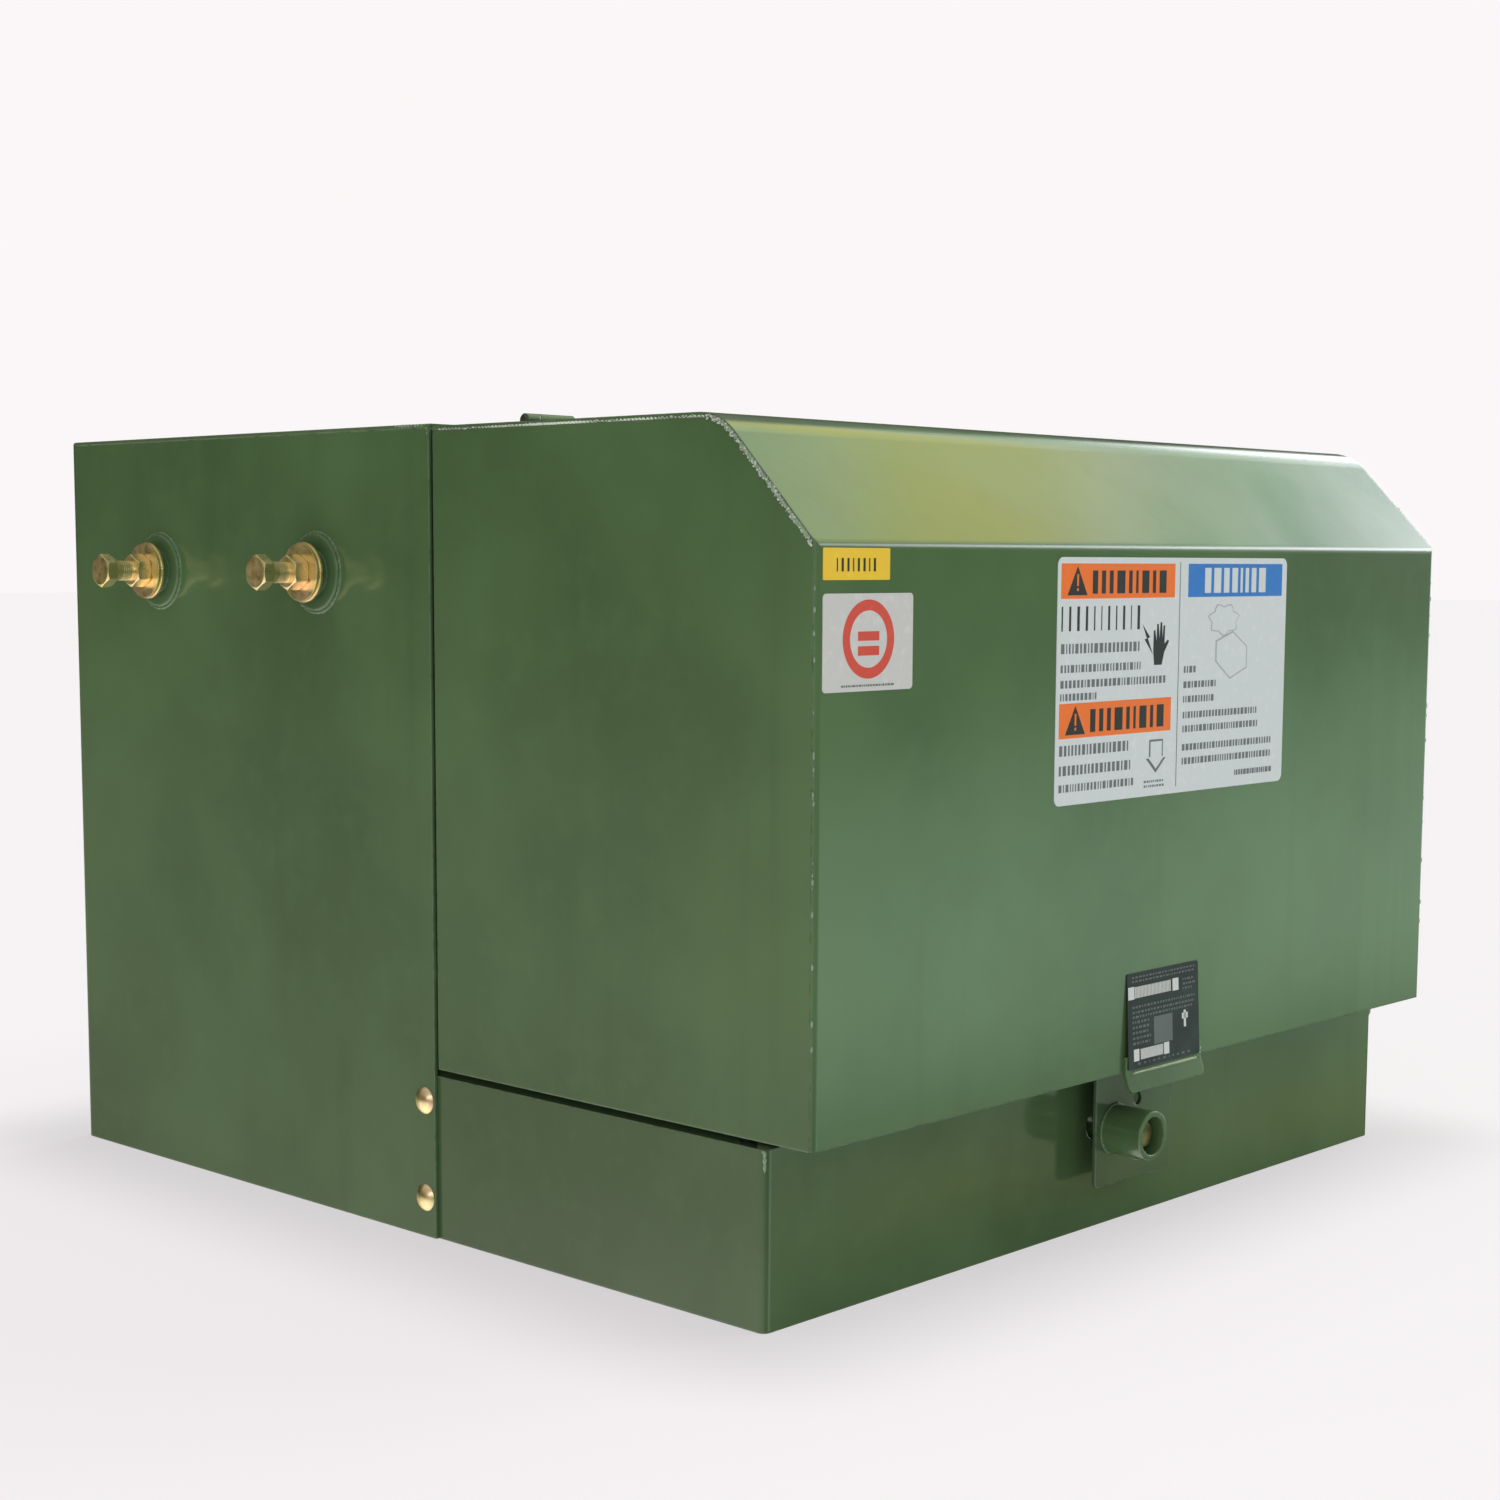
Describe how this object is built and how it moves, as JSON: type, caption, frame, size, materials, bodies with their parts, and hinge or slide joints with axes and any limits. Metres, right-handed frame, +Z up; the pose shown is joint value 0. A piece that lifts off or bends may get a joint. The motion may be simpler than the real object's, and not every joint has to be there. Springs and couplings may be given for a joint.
{
  "type": "pad-mounted distribution transformer",
  "caption": "Low-profile steel transformer tank with a flip-top hood over a cable compartment, a bolted sill, lifting bolts and a recessed lock cup.",
  "frame": {"origin": "centre of the overall box at the level of the pad the tank stands on", "axes": "+Z up; -Y the way the hood faces; +X to the low-voltage side, the right when facing the hood"},
  "size_m": [0.918, 0.878, 0.6215],
  "materials": {
    "bronze": "satin",
    "cast": "matte",
    "copper": "satin",
    "core_steel": "matte",
    "dial": "satin",
    "epdm": "satin",
    "epoxy": "gloss",
    "fibre": "matte",
    "grp": "satin",
    "handwheel": "satin",
    "hood_paint": "satin",
    "knob": "satin",
    "label_white": "satin",
    "label_yellow": "satin",
    "paper": "matte",
    "plate_black": "satin",
    "porcelain_grey": "satin",
    "rubber": "matte",
    "sill_paint": "satin",
    "stainless": "satin",
    "tank_paint": "satin",
    "tinned": "satin",
    "winding": "matte",
    "winding_copper": "matte",
    "zinc_plain": "satin",
    "zinc_yellow": "satin"
  },
  "bodies": {
    "tank": {"bushing_clamp_rings": "tinned", "bushing_clamp_studs_nuts": "stainless", "core_frame": "cast", "core_loops": "core_steel", "core_tie_bolts": "zinc_plain", "drain_valve_body": "bronze", "front_plate_bosses": "tank_paint", "fuse_drip_tray": "stainless", "fuse_housing": "grp", "hinge_pins": "stainless", "hinge_tank_leaves": "tank_paint", "hood_bumpers": "rubber", "hv_bushing_inserts": "epdm", "hv_bushing_wells": "epoxy", "hv_winding": "winding", "lifting_bolts": "zinc_yellow", "lifting_bosses": "tank_paint", "lifting_nuts": "zinc_yellow", "lifting_washers": "zinc_yellow", "lv_bushings": "porcelain_grey", "lv_jam_nuts": "bronze", "lv_spades": "tinned", "lv_studs": "copper", "lv_winding": "winding_copper", "neutral_strap": "copper", "parking_stand": "stainless", "relief_valve_body": "bronze", "sill": "sill_paint", "sill_carriage_bolts": "zinc_yellow", "sill_flange_nuts": "zinc_yellow", "tank_bottom": "tank_paint", "tank_cover": "tank_paint", "tank_front_plate": "tank_paint", "tank_plugs": "zinc_plain", "tank_shell": "tank_paint", "tap_dial": "dial", "tap_switch": "fibre", "winding_barrier": "paper", "winding_leads": "paper"},
    "hood": {"hood_wrap": "hood_paint", "hood_side_left": "hood_paint", "hood_side_right": "hood_paint", "hood_stiffener": "hood_paint", "hinge_hood_leaves": "hood_paint", "pull_lip": "hood_paint", "rating_plate": "plate_black", "warning_label": "label_white", "unit_number_label": "label_yellow", "square_label": "label_white", "lock_plate": "hood_paint", "lock_cup": "hood_paint"},
    "lock_carrier": {"lock_bolt_ring": "stainless"},
    "lock_bolt": {"lock_bolt": "bronze"},
    "hv_cap_left": {"hv_cap_left": "epdm"},
    "hv_cap_right": {"hv_cap_right": "epdm"},
    "fuse_link": {"fuse_cartridge": "fibre"},
    "fuse_grip": {"fuse_holder": "grp"},
    "relief_pull": {"relief_valve_pull": "stainless"},
    "tap_knob": {"tap_changer_knob": "knob"},
    "drain_wheel": {"drain_valve_wheel": "handwheel"}
  },
  "joints": [
    {"name": "hood_hinge", "type": "hinge", "parent": "tank", "child": "hood", "pos_m": [0, -0.051, 0.6165], "axis": [-1, 0, 0], "range_deg": [0, 105]},
    {"name": "lock_bolt_travel", "type": "slide", "parent": "hood", "child": "lock_carrier", "axis": [0, 1, 0], "range_m": [0, 0.01562]},
    {"name": "lock_bolt_spin", "type": "hinge", "parent": "lock_carrier", "child": "lock_bolt", "pos_m": [-0.025, -0.4, 0.08], "axis": [0, 1, 0], "range_deg": [0, 2880]},
    {"name": "cap_left_pull", "type": "slide", "parent": "tank", "child": "hv_cap_left", "axis": [0, -1, 0], "range_m": [0, 0.115]},
    {"name": "cap_right_pull", "type": "slide", "parent": "tank", "child": "hv_cap_right", "axis": [0, -1, 0], "range_m": [0, 0.115]},
    {"name": "fuse_pull", "type": "slide", "parent": "tank", "child": "fuse_link", "axis": [0, -1, 0], "range_m": [0, 0.23]},
    {"name": "fuse_twist", "type": "hinge", "parent": "fuse_link", "child": "fuse_grip", "pos_m": [-0.04, -0.1, 0.52], "axis": [0, 1, 0], "range_deg": [0, 90]},
    {"name": "relief_pull", "type": "slide", "parent": "tank", "child": "relief_pull", "axis": [0, -1, 0], "range_m": [0, 0.006], "stiffness_N_per_m": 600, "springref_m": -0.002},
    {"name": "tap_turn", "type": "hinge", "parent": "tank", "child": "tap_knob", "pos_m": [-0.02, -0.03, 0.425], "axis": [0, 1, 0], "range_deg": [0, 120]},
    {"name": "drain_turn", "type": "hinge", "parent": "tank", "child": "drain_wheel", "pos_m": [0, -0.048, 0.106], "axis": [0, 0, 1], "range_deg": [0, 1080]}
  ],
  "couplings": [
    {"joint": "lock_bolt_spin", "follows": "lock_bolt_travel", "rad_per_m": 3216.1}
  ]
}
